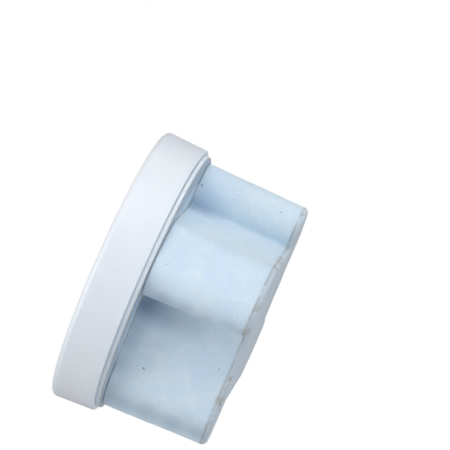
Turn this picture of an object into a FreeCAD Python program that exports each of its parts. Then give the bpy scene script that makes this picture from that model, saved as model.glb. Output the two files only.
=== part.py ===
import FreeCAD, Part
import math
import os

# Cap with a dished moulded plate on a four-lobed cast plug whose lobes lean like a pinwheel. Millimetres.
# The plug end stands on z = 0, the dished face looks up, and +Z is the axis.

# Driving dimensions: heights along the axis
body_height = 38.7          # lobed part of the plug, from its end face to the seal ring
ring_thickness = 1.8
plate_thickness = 15.8
floor_thickness = 3.1       # what the dish leaves of the plate
plate_back_z = body_height + ring_thickness
face_z = plate_back_z + plate_thickness
floor_z = plate_back_z + floor_thickness

# Plate: outer wall with a little draft, soft lip, sloping wall down to the floor
rim_radius = 50.0
rim_back_radius = 49.25
lip_inner_radius = 46.2
floor_radius = 38.0
lip_outer_round = 2.0
lip_inner_round = 2.0
rim_back_round = 0.5
floor_round = 5.0

# Key pockets: four rounded slots that lie across their own radius
pocket_count = 4
pocket_circle_radius = 30.5
pocket_turn = 78.5          # degrees from +X to the first pocket
pocket_length = 16.8
pocket_width = 11.6
pocket_depth = 11.0         # below the floor of the dish
pocket_edge_round = 0.9
pocket_bottom_round = 1.5
pocket_bottom_z = floor_z - pocket_depth

# Drive boss: rounded square head, round shank, square anchor held in the plug
head_side = 19.0
head_corner = 5.0
head_height = 5.8
head_edge_round = 1.4
shank_radius = 6.0
anchor_side = 17.0
anchor_corner = 2.0
anchor_thickness = 4.0
anchor_bottom_z = 20.0

# Seal ring and the spigot that it sits on
ring_radius = 47.5
ring_round = 0.35
spigot_radius = 37.5
spigot_gap = 0.2

# Plug: one lobe, seen from above with the lobe towards +Y, then repeated. Its outline is a round
# shoulder, a short straight front, a round nose and a long slanted side, which runs back to the
# shoulder of the next lobe and meets it in a narrow valley.
lobe_count = 4
lobe_round = 8.5
shoulder_x = 14.9           # centre of the shoulder's round
shoulder_y = 33.5
nose_x = 5.3                # centre of the nose's round
nose_y = 33.5
valley_turn = -90.0         # degrees from +X around the shoulder's centre to the valley before it
valley_round = 1.0
valley_reach = 32.0         # the valleys lie nearer the axis than this, all other corners further out
draft_growth = 0.8          # how much further out the sides are at the seal ring
end_edge_round = 2.0
joint_edge_round = 0.3      # soft edge below the seal ring, which leaves a fine groove there

edge_tolerance = 0.001      # for picking edges by their place
axis = FreeCAD.Vector(0, 0, 1)
origin = FreeCAD.Vector(0, 0, 0)


def rounded_wire(points, rounds):
    """Closed wire of straight runs with a tangent arc of its own radius at each corner."""
    count = len(points)
    entries = []
    exits = []
    middles = []
    for i in range(count):
        corner = points[i]
        back = (points[i - 1] - corner).normalize()
        ahead = (points[(i + 1) % count] - corner).normalize()
        half_angle = back.getAngle(ahead) / 2
        if rounds[i] == 0:
            entries.append(corner)
            exits.append(corner)
            middles.append(None)
            continue
        reach = rounds[i] / math.tan(half_angle)
        bisector = (back + ahead).normalize()
        to_middle = rounds[i] / math.sin(half_angle) - rounds[i]
        entries.append(corner + back * reach)
        exits.append(corner + ahead * reach)
        middles.append(corner + bisector * to_middle)
    edges = []
    for i in range(count):
        if middles[i] is not None:
            edges.append(Part.Arc(entries[i], middles[i], exits[i]).toShape())
        edges.append(Part.LineSegment(exits[i], entries[(i + 1) % count]).toShape())
    return Part.Wire(edges)


def vector_at(degrees):
    """Level unit vector at an angle from +X."""
    return FreeCAD.Vector(math.cos(math.radians(degrees)), math.sin(math.radians(degrees)), 0)


def turned(point, lobes):
    """A point moved round the axis by a number of lobes."""
    return FreeCAD.Rotation(axis, lobes * 360 / lobe_count).multVec(point)


def arc_about(centre, start, end):
    """Anticlockwise arc between two points that are equally far from the centre."""
    first = math.atan2(start.y - centre.y, start.x - centre.x)
    last = math.atan2(end.y - centre.y, end.x - centre.x)
    if last < first:
        last += 2 * math.pi
    middle = centre + vector_at(math.degrees((first + last) / 2)) * (start - centre).Length
    return Part.Arc(start, middle, end).toShape()


def lobe_wire(growth, z):
    """Outline of the four lobes at one height, each side moved outwards by growth."""
    shoulder = FreeCAD.Vector(shoulder_x, shoulder_y, 0)
    nose = FreeCAD.Vector(nose_x, nose_y, 0)
    radius = lobe_round + growth
    valley = shoulder + vector_at(valley_turn) * lobe_round

    # direction square to the slanted side of the lobe before, which ends in this valley
    nose_before = turned(nose, -1)
    to_valley = valley - nose_before
    lean = math.degrees(math.acos(lobe_round / to_valley.Length))
    side_normal = vector_at(math.degrees(math.atan2(to_valley.y, to_valley.x)) - lean)

    # where that side, moved out, meets the shoulder's round
    gap = side_normal.dot(nose_before - shoulder) + radius
    along = FreeCAD.Vector(-side_normal.y, side_normal.x, 0)
    reach = math.sqrt(radius ** 2 - gap ** 2)
    start = shoulder + side_normal * gap - along * reach

    across = nose - shoulder
    front_normal = FreeCAD.Vector(across.y, -across.x, 0).normalize()
    front_start = shoulder + front_normal * radius
    front_end = nose + front_normal * radius
    side_start_before = nose_before + side_normal * radius
    edges = []
    for i in range(lobe_count):
        lobe_edges = [
            Part.LineSegment(side_start_before, start).toShape(),
            arc_about(shoulder, start, front_start),
            Part.LineSegment(front_start, front_end).toShape(),
            arc_about(nose, front_end, turned(side_start_before, 1)),
        ]
        for edge in lobe_edges:
            edge.rotate(origin, axis, i * 360 / lobe_count)
            edge.translate(axis * z)
            edges.append(edge)
    return Part.Wire(edges)


def valley_edges(lobes):
    """The four upright edges at the bottoms of the valleys."""
    found = []
    for edge in lobes.Edges:
        near = [v for v in edge.Vertexes if math.hypot(v.X, v.Y) < valley_reach]
        if len(near) == 2 and edge.BoundBox.ZLength > body_height / 2:
            found.append(edge)
    return found


def rounded_square(side, corner, z, height):
    half = side / 2
    points = [
        FreeCAD.Vector(half, half, z),
        FreeCAD.Vector(-half, half, z),
        FreeCAD.Vector(-half, -half, z),
        FreeCAD.Vector(half, -half, z),
    ]
    return Part.Face(rounded_wire(points, [corner] * len(points))).extrude(axis * height)


def edges_at(shape, z):
    """Edges of a shape that lie in the level plane at height z."""
    return [e for e in shape.Edges if abs(e.BoundBox.ZMin - z) + abs(e.BoundBox.ZMax - z) < edge_tolerance]


def key_pockets():
    """The four slots as solids, from their bottoms up to the level of the lip."""
    radius = pocket_width / 2
    reach = pocket_length / 2 - radius
    points = [
        FreeCAD.Vector(-reach, -radius, pocket_bottom_z),
        FreeCAD.Vector(reach, -radius, pocket_bottom_z),
        FreeCAD.Vector(reach + radius, 0, pocket_bottom_z),
        FreeCAD.Vector(reach, radius, pocket_bottom_z),
        FreeCAD.Vector(-reach, radius, pocket_bottom_z),
        FreeCAD.Vector(-reach - radius, 0, pocket_bottom_z),
    ]
    edges = [
        Part.LineSegment(points[0], points[1]).toShape(),
        Part.Arc(points[1], points[2], points[3]).toShape(),
        Part.LineSegment(points[3], points[4]).toShape(),
        Part.Arc(points[4], points[5], points[0]).toShape(),
    ]
    slot = Part.Face(Part.Wire(edges)).extrude(axis * (face_z - pocket_bottom_z))
    slot.translate(FreeCAD.Vector(0, pocket_circle_radius, 0))
    pockets = []
    for i in range(pocket_count):
        pocket = slot.copy()
        pocket.rotate(origin, axis, pocket_turn - 90 + i * 360 / pocket_count)
        pockets.append(pocket)
    return pockets


def mouth_edges(plate):
    """Edges around the four pocket mouths, where they open on the dish floor."""
    reach = pocket_length / 2 + pocket_edge_round
    found = []
    for i in range(pocket_count):
        angle = math.radians(pocket_turn + i * 360 / pocket_count)
        centre = FreeCAD.Vector(math.cos(angle), math.sin(angle), 0) * pocket_circle_radius
        for edge in plate.Edges:
            middle = edge.CenterOfMass
            plan = FreeCAD.Vector(middle.x, middle.y, 0)
            is_level = edge.BoundBox.ZLength < floor_thickness / 2
            is_on_floor = edge.BoundBox.ZMax > floor_z - edge_tolerance
            if is_level and is_on_floor and plan.distanceToPoint(centre) < reach:
                found.append(edge)
    return found


def drive_boss():
    """Square head on the dish floor, with a shank and an anchor below it."""
    head = rounded_square(head_side, head_corner, floor_z, head_height)
    head = head.makeFillet(head_edge_round, edges_at(head, floor_z + head_height))
    shank = Part.makeCylinder(shank_radius, floor_z - anchor_bottom_z, FreeCAD.Vector(0, 0, anchor_bottom_z))
    anchor = rounded_square(anchor_side, anchor_corner, anchor_bottom_z, anchor_thickness)
    return head.fuse([shank, anchor]).removeSplitter()


def cap_plate(boss):
    """Dished plate, turned about the axis, then pierced by the pockets and the shank."""
    profile = [
        (0, plate_back_z, 0),
        (rim_back_radius, plate_back_z, rim_back_round),
        (rim_radius, face_z, lip_outer_round),
        (lip_inner_radius, face_z, lip_inner_round),
        (floor_radius, floor_z, floor_round),
        (0, floor_z, 0),
    ]
    points = [FreeCAD.Vector(r, 0, z) for r, z, _ in profile]
    rounds = [p[2] for p in profile]
    plate = Part.Face(rounded_wire(points, rounds)).revolve(origin, axis, 360)
    for pocket in key_pockets():
        plate = plate.cut(pocket)
    plate = plate.makeFillet(pocket_edge_round, mouth_edges(plate))
    return plate.cut(boss)


def seal_ring():
    """Flat ring between the plate and the lobes, around the plug's spigot."""
    ring = Part.makeCylinder(ring_radius, ring_thickness, FreeCAD.Vector(0, 0, body_height))
    level_edges = edges_at(ring, body_height) + edges_at(ring, plate_back_z)
    ring = ring.makeFillet(ring_round, level_edges)
    hole = Part.makeCylinder(spigot_radius + spigot_gap, ring_thickness, FreeCAD.Vector(0, 0, body_height))
    return ring.cut(hole)


def plug_body(boss):
    """Lobed plug with a short spigot on top, cast around the boss's shank and anchor."""
    lobes = Part.makeLoft([lobe_wire(0, 0), lobe_wire(draft_growth, body_height)], True, True)
    lobes = lobes.makeFillet(valley_round, valley_edges(lobes))
    lobes = lobes.makeFillet(end_edge_round, edges_at(lobes, 0))
    lobes = lobes.makeFillet(joint_edge_round, edges_at(lobes, body_height))
    spigot = Part.makeCylinder(spigot_radius, ring_thickness, FreeCAD.Vector(0, 0, body_height))
    body = lobes.fuse(spigot)
    for pocket in key_pockets():
        body = body.cut(pocket.makeFillet(pocket_bottom_round, edges_at(pocket, pocket_bottom_z)))
    return body.cut(boss)


def main():
    os.makedirs("parts", exist_ok=True)
    boss = drive_boss()
    nodes = {
        "cap_plate": cap_plate(boss),
        "drive_boss": boss,
        "seal_ring": seal_ring(),
        "plug_body": plug_body(boss),
    }
    for name, shape in nodes.items():
        solid = shape.Solids[0]
        print(name, len(shape.Solids), shape.isValid(), round(solid.Volume))
        solid.exportStep(os.path.join("parts", name + ".step"))


main()
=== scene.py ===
import math
import random

import bmesh
import bpy
import numpy as np
from mathutils import Matrix, Vector, noise
from mathutils.bvhtree import BVHTree
from mathutils.kdtree import KDTree


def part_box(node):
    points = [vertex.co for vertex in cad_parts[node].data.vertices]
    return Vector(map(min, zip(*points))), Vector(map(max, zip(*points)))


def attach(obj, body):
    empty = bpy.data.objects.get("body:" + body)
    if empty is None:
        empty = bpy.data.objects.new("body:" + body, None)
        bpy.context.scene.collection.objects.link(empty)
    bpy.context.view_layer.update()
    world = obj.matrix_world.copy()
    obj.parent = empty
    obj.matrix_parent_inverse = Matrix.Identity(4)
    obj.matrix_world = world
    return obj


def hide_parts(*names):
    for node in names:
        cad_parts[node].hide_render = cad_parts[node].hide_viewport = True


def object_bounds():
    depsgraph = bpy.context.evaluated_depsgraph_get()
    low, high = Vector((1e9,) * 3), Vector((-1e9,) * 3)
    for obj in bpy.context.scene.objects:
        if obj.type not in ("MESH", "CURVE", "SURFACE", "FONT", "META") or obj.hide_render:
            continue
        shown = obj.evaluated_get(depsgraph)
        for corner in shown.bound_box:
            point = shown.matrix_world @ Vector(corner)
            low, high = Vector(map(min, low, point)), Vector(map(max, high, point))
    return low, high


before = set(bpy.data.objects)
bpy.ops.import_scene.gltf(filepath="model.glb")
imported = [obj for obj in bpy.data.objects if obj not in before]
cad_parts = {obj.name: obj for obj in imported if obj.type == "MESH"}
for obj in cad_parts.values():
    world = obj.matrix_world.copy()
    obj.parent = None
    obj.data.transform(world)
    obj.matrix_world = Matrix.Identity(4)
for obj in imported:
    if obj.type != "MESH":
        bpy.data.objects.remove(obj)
cad_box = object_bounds()

MM = 0.001

# Heights along the axis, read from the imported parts
seam_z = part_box("seal_ring")[0].z           # underside of the seal ring
joint_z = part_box("seal_ring")[1].z          # seal ring meets the plate
rim_of_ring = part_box("seal_ring")[1].x      # outer radius of the seal ring
end_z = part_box("plug_body")[0].z            # end face of the plug

# Camera: the viewing angle of the photograph, in the part's own frame
CAMERA_LOCATION = Vector((-0.485891, -0.843519, -0.040152))
CAMERA_TARGET = Vector((0.027450, -0.008933, 0.025201))
CAMERA_ROLL = math.radians(66.406)
CAMERA_LENS = 224.0
CAMERA_SENSOR = 36.0

forward = (CAMERA_TARGET - CAMERA_LOCATION).normalized()
level_right = forward.cross(Vector((0, 0, 1))).normalized()
level_up = level_right.cross(forward)
image_up = level_up * math.cos(CAMERA_ROLL) + level_right * math.sin(CAMERA_ROLL)
image_right = forward.cross(image_up)


# ---------------------------------------------------------------- shader helper

class Graph:
    """Adds shader nodes to one material and links them."""

    def __init__(self, name):
        self.material = bpy.data.materials.new(name)
        self.material.use_nodes = True
        self.tree = self.material.node_tree
        self.tree.nodes.clear()
        self.coords = self.add("ShaderNodeTexCoord").outputs["Object"]

    def add(self, kind, inputs=None, **settings):
        node = self.tree.nodes.new(kind)
        for key, value in settings.items():
            setattr(node, key, value)
        for key, value in (inputs or {}).items():
            if isinstance(value, bpy.types.NodeSocket):
                self.tree.links.new(value, node.inputs[key])
            else:
                node.inputs[key].default_value = value
        return node

    def math(self, operation, a, b=0.0):
        return self.add("ShaderNodeMath", {0: a, 1: b}, operation=operation).outputs[0]

    def mix(self, factor, a, b):
        a = (*a, 1) if isinstance(a, tuple) else a
        b = (*b, 1) if isinstance(b, tuple) else b
        return self.add("ShaderNodeMix", {0: factor, 6: a, 7: b}, data_type="RGBA").outputs[2]

    def span(self, value, low, high, to_low=0.0, to_high=1.0):
        """Value moved from low..high to to_low..to_high, smoothly and clamped."""
        inputs = {0: value, 1: low, 2: high, 3: to_low, 4: to_high}
        return self.add("ShaderNodeMapRange", inputs, interpolation_type="SMOOTHSTEP").outputs[0]

    def noise(self, per_metre, detail=3.0, roughness=0.5, distortion=0.0, vector=None):
        inputs = {"Vector": vector or self.coords, "Scale": per_metre, "Detail": detail,
                  "Roughness": roughness, "Distortion": distortion}
        return self.add("ShaderNodeTexNoise", inputs).outputs[0]

    def cells(self, per_metre):
        inputs = {"Vector": self.coords, "Scale": per_metre, "Randomness": 1.0}
        return self.add("ShaderNodeTexVoronoi", inputs).outputs["Distance"]

    def stretched(self, x, y, z):
        inputs = {"Vector": self.coords, "Scale": (x, y, z)}
        return self.add("ShaderNodeMapping", inputs, vector_type="POINT").outputs[0]

    def axis_parts(self):
        """Height along the axis and distance from the axis."""
        parts = self.add("ShaderNodeSeparateXYZ", {0: self.coords}).outputs
        square_x, square_y = [self.math("POWER", part, 2.0) for part in parts[:2]]
        return parts[2], self.math("SQRT", self.math("ADD", square_x, square_y))

    def bump(self, height, distance, strength, normal=None):
        inputs = {"Strength": strength, "Distance": distance, "Height": height}
        if normal is not None:
            inputs["Normal"] = normal
        return self.add("ShaderNodeBump", inputs).outputs[0]

    def finish(self, base, roughness, normal, **constants):
        inputs = {"Base Color": base, "Roughness": roughness, "Normal": normal}
        shader = self.add("ShaderNodeBsdfPrincipled", inputs)
        for key, value in constants.items():
            shader.inputs[key.replace("_", " ")].default_value = value
        output = self.add("ShaderNodeOutputMaterial")
        self.tree.links.new(shader.outputs[0], output.inputs["Surface"])
        return self.material


# ---------------------------------------------------------------- materials

def plate_white():
    """Milky satin moulded plastic, a little scuffed, bluer next to the seal ring."""
    g = Graph("plate_white")
    height, _ = g.axis_parts()
    clouds = g.noise(26, 4, 0.55)
    haze = g.noise(210, 6, 0.7, 0.4)
    base = g.mix(g.span(clouds, 0.32, 0.68), (0.745, 0.79, 0.85), (0.78, 0.82, 0.87))
    base = g.mix(g.span(haze, 0.5, 0.8, 0.0, 0.35), base, (0.68, 0.725, 0.78))
    # painted blue light: the plate tinted blue just above the seal ring and low in the pocket mouths,
    # standing in for light from the blue parts shining into the milky plastic
    low = g.span(height, joint_z + 2.6 * MM, joint_z, 0.0, 0.5)
    base = g.mix(low, base, (0.70, 0.785, 0.875))
    # fine scratches, across each other
    scratches = None
    for stretch in ((1, 12, 7), (10, 1, 8), (6, 9, 1)):
        lines = g.noise(150, 2, 0.5, 0.0, g.stretched(*stretch))
        lines = g.span(g.math("ABSOLUTE", g.math("SUBTRACT", lines, 0.5)), 0.006, 0.0)
        scratches = lines if scratches is None else g.math("MAXIMUM", scratches, lines)
    patches = g.span(g.noise(60, 2), 0.5, 0.66)
    scratches = g.math("MULTIPLY", scratches, patches)
    base = g.mix(g.math("MULTIPLY", scratches, 0.22), base, (0.60, 0.63, 0.67))
    roughness = g.span(g.math("ADD", haze, g.math("MULTIPLY", scratches, 0.3)), 0.35, 0.8, 0.34, 0.5)
    normal = g.bump(g.noise(95, 3, 0.5), 0.20 * MM, 0.5)
    normal = g.bump(g.noise(1300, 3, 0.6), 0.012 * MM, 0.8, normal)
    normal = g.bump(scratches, 0.012 * MM, 0.6, normal)
    return g.finish(base, roughness, normal, Subsurface_Weight=0.35, Subsurface_Scale=2.2 * MM,
                    Subsurface_Radius=(1.0, 0.9, 0.85), IOR=1.47)


def boss_cream():
    """Moulded plastic, slightly creamier and duller than the plate, with darker rubbed marks scattered
    over it.
    """
    g = Graph("boss_cream")
    clouds = g.noise(120, 5, 0.65, 0.3)
    base = g.mix(g.span(clouds, 0.35, 0.7), (0.76, 0.785, 0.79), (0.81, 0.825, 0.82))
    marks = g.span(g.noise(520, 5, 0.75, 0.5), 0.6, 0.74, 0.0, 0.45)
    base = g.mix(marks, base, (0.66, 0.665, 0.66))
    roughness = g.span(clouds, 0.3, 0.75, 0.42, 0.6)
    normal = g.bump(g.noise(240, 5, 0.6), 0.12 * MM, 0.6)
    normal = g.bump(g.noise(1500, 3, 0.6), 0.02 * MM, 0.8, normal)
    return g.finish(base, roughness, normal, Subsurface_Weight=0.25, Subsurface_Scale=1.8 * MM,
                    Subsurface_Radius=(1.0, 0.92, 0.85), IOR=1.47)


def seal_blue():
    """Pale blue rubbery ring, dusty, with painted shade darkening its underside to blue-grey, and
    grime on its outer lower edge.
    """
    g = Graph("seal_blue")
    height, radius = g.axis_parts()
    base = g.mix(g.span(g.noise(70, 4, 0.6), 0.3, 0.7), (0.69, 0.79, 0.88), (0.76, 0.84, 0.90))
    dust = g.span(g.noise(420, 6, 0.7, 0.4), 0.5, 0.75, 0.0, 0.4)
    base = g.mix(dust, base, (0.72, 0.76, 0.79))
    # painted shade: the underside darkened to blue-grey
    base = g.mix(g.span(height, seam_z + 0.2 * MM, seam_z + 0.05 * MM), base, (0.44, 0.54, 0.65))
    # brown-grey grime on the outer lower edge
    patchy = g.span(g.noise(260, 5, 0.65), 0.25, 0.6, 0.45, 1.0)
    outer = g.span(radius, rim_of_ring - 0.9 * MM, rim_of_ring - 0.4 * MM)
    low = g.span(height, seam_z + 0.5 * MM, seam_z + 0.15 * MM)
    grime = g.math("MULTIPLY", low, g.math("MULTIPLY", outer, patchy))
    base = g.mix(g.math("MULTIPLY", grime, 0.8), base, (0.40, 0.385, 0.37))
    roughness = g.span(dust, 0.0, 0.4, 0.5, 0.72)
    normal = g.bump(g.noise(380, 5, 0.65), 0.12 * MM, 0.7)
    return g.finish(base, roughness, normal, Subsurface_Weight=0.15, Subsurface_Scale=1.5 * MM,
                    Subsurface_Radius=(0.85, 0.95, 1.0), IOR=1.46)


def plug_blue():
    """Cast pale blue material: chalky bloom, dust, pores, rubbed edges, brown stains at the end,
    painted shade in the valleys and by the ring, and a painted highlight along each valley.
    """
    g = Graph("plug_blue")
    height, _ = g.axis_parts()
    edge, pit, stain, painted_shade, valley, crease_highlight = [
        g.add("ShaderNodeAttribute", attribute_name=name).outputs["Fac"]
        for name in ("edge", "pit", "stain", "painted_shade", "valley", "crease_highlight")]
    clouds = g.noise(38, 4, 0.6, 0.3)
    base = g.mix(g.span(clouds, 0.3, 0.7), (0.58, 0.735, 0.885), (0.66, 0.80, 0.91))
    # chalky bloom, thinned towards the ring, which also paints shade: the sides get darker and bluer
    # next to the ring
    bloom = g.span(g.noise(130, 8, 0.72, 0.6), 0.42, 0.68)
    reach = g.span(height, seam_z - 1.0 * MM, seam_z - 14.0 * MM, 0.25, 1.0)
    base = g.mix(g.math("MULTIPLY", g.math("MULTIPLY", bloom, reach), 0.55), base, (0.74, 0.835, 0.90))
    # painted shade: deeper blue where the valleys run up to the ring and at the listed darker places,
    # deepest in one valley
    valley_shade = g.math("MULTIPLY", valley, g.span(height, seam_z - 16 * MM, seam_z, 0.0, 0.3))
    base = g.mix(g.math("MAXIMUM", valley_shade, painted_shade), base, (0.20, 0.31, 0.45))
    # fine mottling
    mottle = g.span(g.noise(850, 4, 0.7), 0.35, 0.65, 0.0, 0.12)
    base = g.mix(mottle, base, (0.44, 0.53, 0.62))
    # thin greenish-grey dust everywhere, thicker around the end edges
    dust = g.span(g.noise(310, 8, 0.75, 0.5), 0.38, 0.72)
    where = g.math("MAXIMUM", g.math("MULTIPLY", valley, 0.08), g.math("MULTIPLY", edge, 0.5))
    base = g.mix(g.math("MULTIPLY", dust, g.math("ADD", where, 0.10)), base, (0.52, 0.59, 0.61))
    # painted highlight: a pale line along the bottom of each valley
    base = g.mix(g.math("MULTIPLY", crease_highlight, 0.7), base, (0.82, 0.90, 0.96))
    # dark line along the end edge, streaky greyer end face inside it
    inside = g.span(height, 1.5 * MM, 0.9 * MM)
    lengthwise = g.noise(420, 4, 0.65, 0.0, g.stretched(1, 1, 5))
    streaks = g.span(lengthwise, 0.35, 0.65, 0.25, 0.75)
    base = g.mix(g.math("MULTIPLY", inside, streaks), base, (0.60, 0.665, 0.73))
    line = g.math("MULTIPLY", g.span(height, 2.5 * MM, 1.9 * MM), g.span(height, 1.1 * MM, 1.6 * MM))
    line = g.math("MULTIPLY", line, g.span(g.noise(200, 5, 0.7), 0.3, 0.65, 0.15, 0.75))
    base = g.mix(line, base, (0.33, 0.35, 0.35))
    # brown stains on the end edges
    patches = g.math("MULTIPLY", g.span(g.noise(85, 5, 0.65, 0.5), 0.5, 0.7), edge)
    stain = g.math("MAXIMUM", stain, g.math("MULTIPLY", patches, 0.4))
    streak = g.span(g.noise(700, 6, 0.75), 0.35, 0.7, 0.35, 1.0)
    base = g.mix(g.math("MULTIPLY", stain, g.math("MULTIPLY", streak, 0.8)), base, (0.38, 0.335, 0.29))
    # grime on the lobes' sides just under the ring, and not on the flat face of the seam
    seam = g.math("MULTIPLY", g.span(height, seam_z - 0.6 * MM, seam_z - 0.1 * MM),
                  g.span(height, seam_z - 0.01 * MM, seam_z - 0.04 * MM))
    seam = g.math("MULTIPLY", seam, g.span(g.noise(240, 5, 0.65), 0.25, 0.6, 0.4, 1.0))
    base = g.mix(g.math("MULTIPLY", seam, 0.8), base, (0.33, 0.31, 0.30))
    # pores and tiny specks
    specks = g.span(g.cells(260), 0.075, 0.035)
    specks = g.math("MULTIPLY", specks, g.span(g.noise(55, 2), 0.52, 0.6))
    base = g.mix(g.math("MAXIMUM", pit, g.math("MULTIPLY", specks, 0.2)), base, (0.20, 0.25, 0.32))
    roughness = g.span(g.math("ADD", g.math("MULTIPLY", bloom, 0.5), g.math("MULTIPLY", dust, 0.5)),
                       0.0, 1.0, 0.52, 0.78)
    normal = g.bump(g.noise(170, 6, 0.62, 0.3), 0.30 * MM, 0.5)
    normal = g.bump(g.noise(1100, 5, 0.7), 0.05 * MM, 0.8, normal)
    normal = g.bump(g.math("SUBTRACT", 1.0, specks), 0.06 * MM, 0.6, normal)
    return g.finish(base, roughness, normal, Subsurface_Weight=0.18, Subsurface_Scale=1.6 * MM,
                    Subsurface_Radius=(0.8, 0.95, 1.0), IOR=1.45)


# ---------------------------------------------------------------- the cast plug

VOXEL = 0.56 * MM               # edge length of the dense mesh
FINEST_EDGE = 0.16 * MM         # edges shorter than this are never split
WAVE_DEPTH = 0.16 * MM          # slow unevenness of the cast surface
GRAIN_DEPTH = 0.035 * MM        # fine grain of the cast surface
EDGE_WEAR = 0.25 * MM           # how far the end edges are rubbed down
RAY_START = 60                  # millimetres from the axis, outside the part
SEED = 11

rng = random.Random(SEED)

# Random marks: how many are added to the placed ones, radius, depth as a share of the radius
PORES = {"count": 16, "low": 0.15 * MM, "high": 0.35 * MM, "depth": 0.75}
DENTS = {"count": 26, "low": 1.2 * MM, "high": 3.2 * MM, "depth": 0.06}
CHIPS = {"count": 18, "low": 0.6 * MM, "high": 1.6 * MM, "depth": 0.42}

# Bottom of one of the four valleys, seen from above, at the end face and at the seal ring
VALLEY_END = (14.9 * MM, 25.0 * MM)
VALLEY_RING = (16.7 * MM, 24.4 * MM)

# Single marks on the plug's sides: degrees around the axis, height and radius in millimetres
PINHOLES = ((-38.2, 37.4, 0.5), (-171.7, 29.1, 0.5), (-37.9, 25.2, 0.3), (-111.2, 34.4, 0.3),
            (-156.6, 5.2, 0.35))
CRATERS = ((-111.6, 12.0, 1.2),)
STAINS = ((-62.0, 1.2, 2.2), (-73.0, 1.2, 3.0), (-86.0, 1.0, 2.6), (-112.0, 0.8, 2.2),
          (-124.7, 1.2, 3.8), (-160.0, 0.5, 2.0), (-173.0, 0.6, 3.0), (40.0, 0.6, 3.0),
          (128.0, 0.5, 2.6))
# Painted shade, darker places in the valleys and on the lobes' shaded sides: degrees, height and
# radius as above, then strength
PAINTED_SHADE = ((-136.0, 37.5, 8.5, 1.0), (-137.0, 32.0, 8.5, 0.45), (-138.0, 26.0, 8.0, 0.3),
        (-139.0, 19.0, 7.0, 0.2), (-152.0, 38.0, 7.0, 0.4), (-163.0, 38.0, 6.0, 0.35),
        (-173.0, 38.0, 6.0, 0.3), (165.0, 32.0, 8.0, 0.35), (165.0, 23.0, 8.0, 0.4),
        (165.0, 13.0, 8.0, 0.45), (166.0, 4.0, 7.0, 0.45), (-126.0, 31.0, 6.0, 0.3),
        (-126.0, 23.0, 6.0, 0.3), (-126.0, 15.0, 6.0, 0.3), (-125.0, 7.0, 6.0, 0.3))


def bvh_of(mesh):
    """The mesh with its split points joined, and a search tree over it."""
    bm = bmesh.new()
    bm.from_mesh(mesh)
    bmesh.ops.remove_doubles(bm, verts=bm.verts, dist=1e-7)
    bmesh.ops.recalc_face_normals(bm, faces=bm.faces)
    return bm, BVHTree.FromBMesh(bm)


def dense_mesh(node):
    """Even quads near a CAD node's surface, and a search tree over that surface."""
    bm, tree = bvh_of(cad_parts[node].data)
    welded = bpy.data.meshes.new(node + "_welded")
    bm.to_mesh(welded)
    bm.free()
    carrier = bpy.data.objects.new(node + "_carrier", welded)
    bpy.context.scene.collection.objects.link(carrier)
    remesh = carrier.modifiers.new("remesh", "REMESH")
    remesh.mode = "VOXEL"
    remesh.voxel_size = VOXEL
    graph = bpy.context.evaluated_depsgraph_get()
    dense = bpy.data.meshes.new_from_object(carrier.evaluated_get(graph))
    bpy.data.objects.remove(carrier)
    return dense, tree


def snap(bm, tree):
    """Moves every point to the nearest place on the CAD surface."""
    for vertex in bm.verts:
        vertex.co = tree.find_nearest(vertex.co)[0]


def is_outside(point, normal):
    """True on the lobes' sides and on the end face, not in the pockets or under the ring."""
    if point.z > seam_z - 1.5 * MM:
        return False
    outward = Vector((point.x, point.y, 0)).normalized().dot(normal)
    return outward > 0.15 or normal.z < -0.8


def is_end_edge(point, normal):
    """True on the rounded edge between the lobes' sides and the end face."""
    return point.z < 1.6 * MM and -0.95 < normal.z < -0.25


def placed(tree, marks):
    """Marks given by angle and height, as (point on the surface, radius)."""
    found = []
    for degrees, height, radius, *rest in marks:
        angle = math.radians(degrees)
        outward = Vector((math.cos(angle), math.sin(angle), 0))
        start = outward * RAY_START * MM + Vector((0, 0, height * MM))
        found.append((tree.ray_cast(start, -outward)[0], radius * MM))
    return found


def valley_gap(point):
    """Level distance from a point to the nearest bottom of a valley."""
    share = point.z / seam_z
    x, y = [end + (ring - end) * share for end, ring in zip(VALLEY_END, VALLEY_RING)]
    gaps = []
    for _ in range(4):
        gaps.append(math.hypot(point.x - x, point.y - y))
        x, y = -y, x
    return min(gaps)


def pick_marks(bm, marks, kind, chooser):
    """Adds random marks of a kind to a list of (point, radius), none too near another."""
    faces = [f for f in bm.faces if chooser(f.calc_center_median(), f.normal)]
    count = len(marks) + kind["count"]
    low, high = kind["low"], kind["high"]
    while len(marks) < count:
        centre = rng.choice(faces).calc_center_median()
        radius = low + (high - low) * rng.random() ** 2.5       # mostly small ones
        if all((centre - other).length > radius + reach + 0.5 * MM for other, reach in marks):
            marks.append((centre.copy(), radius))
    return marks


def refine(bm, marks, times):
    """Splits the faces around each mark, so that it has a real shape."""
    for _ in range(times):
        tree = KDTree(len(bm.verts))
        bm.verts.ensure_lookup_table()
        for vertex in bm.verts:
            tree.insert(vertex.co, vertex.index)
        tree.balance()
        edges = set()
        for centre, radius in marks:
            for _, index, _ in tree.find_range(centre, radius * 1.6 + 0.35 * MM):
                for edge in bm.verts[index].link_edges:
                    if edge.calc_length() > FINEST_EDGE:
                        edges.add(edge)
        bmesh.ops.subdivide_edges(bm, edges=list(edges), cuts=1, use_grid_fill=True)
        bmesh.ops.triangulate(bm, faces=[f for f in bm.faces if len(f.verts) > 4])
        bm.verts.index_update()


def smoothstep(value, low, high):
    t = min(max((value - low) / (high - low), 0.0), 1.0)
    return t * t * (3 - 2 * t)


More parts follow.
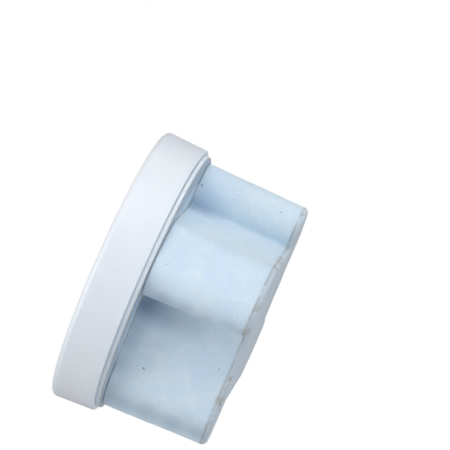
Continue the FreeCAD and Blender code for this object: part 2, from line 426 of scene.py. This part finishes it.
def cast_plug():
    """The plug as a dense mesh on the CAD surface, with pores, dents, chips and worn edges."""
    mesh, tree = dense_mesh("plug_body")
    bm = bmesh.new()
    bm.from_mesh(mesh)
    snap(bm, tree)
    bm.normal_update()
    pores = pick_marks(bm, placed(tree, PINHOLES), PORES, is_outside)
    dents = pick_marks(bm, placed(tree, CRATERS), DENTS, is_outside)
    chips = pick_marks(bm, [], CHIPS, is_end_edge)
    refine(bm, pores, 2)
    refine(bm, chips, 1)
    snap(bm, tree)
    bm.normal_update()

    bm.verts.ensure_lookup_table()
    kd = KDTree(len(bm.verts))
    for i, vertex in enumerate(bm.verts):
        kd.insert(vertex.co, i)
    kd.balance()
    # one value per point: how far it moves along its normal, then what the material reads
    push, edge, pit, stain, painted_shade, valley, crease_highlight = np.zeros((7, len(bm.verts)))

    # uneven cast surface, rubbed down at the end edges
    for i, vertex in enumerate(bm.verts):
        p, n = vertex.co, vertex.normal
        radius = math.hypot(p.x, p.y)
        outward = (p.x * n.x + p.y * n.y) / max(radius, 1e-6)
        free = 1.0 if (outward > 0.0 or n.z < -0.2) else 0.0
        free *= 1 - smoothstep(p.z, seam_z - 2.5 * MM, seam_z - 0.5 * MM)
        wobble = noise.fractal(p * 45, 0.9, 2.0, 3)
        grain = noise.fractal(p * 420 + Vector((3, 1, 7)), 0.8, 2.1, 3)
        push[i] = free * (WAVE_DEPTH * wobble + GRAIN_DEPTH * grain)
        near_end = 1 - smoothstep(p.z, 0.8 * MM, 3.4 * MM)
        sideways = smoothstep(outward, 0.05, 0.4)
        edge[i] = near_end * max(sideways, 1 - smoothstep(-n.z, 0.9, 0.995))
        push[i] -= edge[i] * EDGE_WEAR * smoothstep(noise.noise(p * 160), -0.2, 0.6)

    # pores, dents and chips, each with a ragged outline
    for marks, kind in ((pores, PORES), (dents, DENTS), (chips, CHIPS)):
        for number, (centre, radius) in enumerate(marks):
            turn = Vector((number * 1.7, 0.3, 5.1))
            for co, index, distance in kd.find_range(centre, radius * 1.35):
                ragged = 1 + 0.28 * noise.noise((co - centre) / radius * 1.6 + turn)
                share = 1 - smoothstep(distance / (radius * ragged), 0.35, 1.0)
                push[index] -= share * radius * kind["depth"]
                if marks is pores:
                    pit[index] = max(pit[index], share * 0.8)
                elif marks is chips:
                    edge[index] = max(edge[index], share)

    # brown stains, and painted shade at the darker places
    for centre, radius in placed(tree, STAINS):
        for co, index, distance in kd.find_range(centre, radius * 1.5):
            ragged = 1 + 0.45 * noise.noise(co * 500)
            stain[index] = max(stain[index], 1 - smoothstep(distance / (radius * ragged), 0.2, 1.0))
    for (centre, radius), mark in zip(placed(tree, PAINTED_SHADE), PAINTED_SHADE):
        for _, index, distance in kd.find_range(centre, radius):
            share = mark[-1] * (1 - smoothstep(distance / radius, 0.0, 1.0))
            painted_shade[index] = 1 - (1 - painted_shade[index]) * (1 - share)

    # valleys between the lobes, and the painted highlight along each valley's bottom
    for i, vertex in enumerate(bm.verts):
        if vertex.co.z < seam_z + 0.1 * MM:
            gap = valley_gap(vertex.co)
            valley[i] = 1 - smoothstep(gap, 0.5 * MM, 9 * MM)
            crease_highlight[i] = 1 - smoothstep(gap, 0.5 * MM, 1.2 * MM)

    for i, vertex in enumerate(bm.verts):
        vertex.co += vertex.normal * float(push[i])
        vertex.co.z = max(vertex.co.z, end_z)

    bm.to_mesh(mesh)
    bm.free()
    fields = {"edge": edge, "pit": pit, "stain": stain,
              "painted_shade": painted_shade, "valley": valley, "crease_highlight": crease_highlight}
    for name, values in fields.items():
        attribute = mesh.attributes.new(name, "FLOAT", "POINT")
        attribute.data.foreach_set("value", values.astype(np.float32))
    mesh.shade_smooth()
    mesh.materials.clear()
    mesh.materials.append(plug_blue())
    plug = bpy.data.objects.new("cast_plug", mesh)
    bpy.context.scene.collection.objects.link(plug)
    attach(plug, "root")
    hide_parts("plug_body")


def paint(node, material):
    """Gives a CAD node one material."""
    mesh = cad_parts[node].data
    mesh.materials.clear()
    mesh.materials.append(material)


paint("cap_plate", plate_white())
paint("drive_boss", boss_cream())
paint("seal_ring", seal_blue())
cast_plug()


# ---------------------------------------------------------------- stage, light and camera

FAR_FLOOR_LIGHT = 0.75      # light sent out by the far part of the floor
FLOOR_DROP = 0.10           # below the end face, so that the camera is above the floor
FLOOR_HALF = 12.0           # half the width of the floor
WORLD_LIGHT = 0.22
LAMP_DISTANCE = 0.9         # from the middle of the part
LAMP_SIZE = 0.7


def stage_floor():
    """Large pale floor that turns into plain white further away."""
    g = Graph("floor_pale")
    _, radius = g.axis_parts()
    far = g.span(radius, 0.30, 0.60)
    near_white = g.mix(g.span(g.noise(9, 3), 0.3, 0.7), (0.86, 0.86, 0.87), (0.89, 0.89, 0.89))
    pale = g.add("ShaderNodeBsdfDiffuse", {"Color": near_white, "Roughness": 0.6}).outputs[0]
    seen = g.add("ShaderNodeLightPath").outputs["Is Camera Ray"]
    glow = g.span(seen, 0.0, 1.0, FAR_FLOOR_LIGHT, 1.0)
    white = g.add("ShaderNodeEmission", {"Color": (1, 1, 1, 1), "Strength": glow}).outputs[0]
    both = g.add("ShaderNodeMixShader", {0: far, 1: pale, 2: white}).outputs[0]
    # clear when looked at from below, so that the underside of the part can be seen
    below = g.math("MULTIPLY", seen, g.add("ShaderNodeNewGeometry").outputs["Backfacing"])
    clear = g.add("ShaderNodeBsdfTransparent").outputs[0]
    both = g.add("ShaderNodeMixShader", {0: below, 1: both, 2: clear}).outputs[0]
    g.add("ShaderNodeOutputMaterial", {"Surface": both})
    half = FLOOR_HALF
    mesh = bpy.data.meshes.new("floor")
    corners = [(-half, -half, 0), (half, -half, 0), (half, half, 0), (-half, half, 0)]
    mesh.from_pydata(corners, [], [(0, 1, 2, 3)])
    mesh.materials.append(g.material)
    floor = bpy.data.objects.new("floor", mesh)
    floor.location.z = -FLOOR_DROP
    bpy.context.scene.collection.objects.link(floor)


def soft_box(name, direction, power):
    """Large square lamp that looks at the middle of the part."""
    centre = (cad_box[0] + cad_box[1]) / 2
    data = bpy.data.lights.new(name, "AREA")
    data.shape = "SQUARE"
    data.size = LAMP_SIZE
    data.energy = power
    lamp = bpy.data.objects.new(name, data)
    lamp.location = centre + direction.normalized() * LAMP_DISTANCE
    lamp.rotation_euler = (-direction).to_track_quat("-Z", "Y").to_euler()
    lamp.visible_camera = False
    bpy.context.scene.collection.objects.link(lamp)


def white_world(strength):
    """Plain white to the camera, dimmer and slightly blue as a light."""
    world = bpy.data.worlds.new("studio")
    world.use_nodes = True
    tree = world.node_tree
    tree.nodes.clear()
    output = tree.nodes.new("ShaderNodeOutputWorld")
    seen = tree.nodes.new("ShaderNodeBackground")
    seen.inputs["Strength"].default_value = 1.0
    seen.inputs["Color"].default_value = (1, 1, 1, 1)
    light = tree.nodes.new("ShaderNodeBackground")
    light.inputs["Strength"].default_value = strength
    light.inputs["Color"].default_value = (0.96, 0.98, 1, 1)
    path = tree.nodes.new("ShaderNodeLightPath")
    both = tree.nodes.new("ShaderNodeMixShader")
    tree.links.new(path.outputs["Is Camera Ray"], both.inputs[0])
    tree.links.new(light.outputs[0], both.inputs[1])
    tree.links.new(seen.outputs[0], both.inputs[2])
    tree.links.new(both.outputs[0], output.inputs["Surface"])
    bpy.context.scene.world = world


def photo_camera():
    data = bpy.data.cameras.new("camera")
    data.lens = CAMERA_LENS
    data.sensor_width = CAMERA_SENSOR
    camera = bpy.data.objects.new("camera", data)
    turn = Matrix((image_right, image_up, -forward)).transposed()
    camera.matrix_world = Matrix.Translation(CAMERA_LOCATION) @ turn.to_4x4()
    bpy.context.scene.collection.objects.link(camera)
    bpy.context.scene.camera = camera


stage_floor()
white_world(WORLD_LIGHT)
soft_box("top", image_up - forward, 3.3)
soft_box("key", image_right + image_up - forward * 0.8, 3.4)
soft_box("back", image_right + image_up, 5.2)
soft_box("left", -image_right - forward * 0.2, 3.3)
soft_box("side", -image_right - forward, 2.2)
photo_camera()
bpy.context.scene.view_settings.view_transform = "Standard"
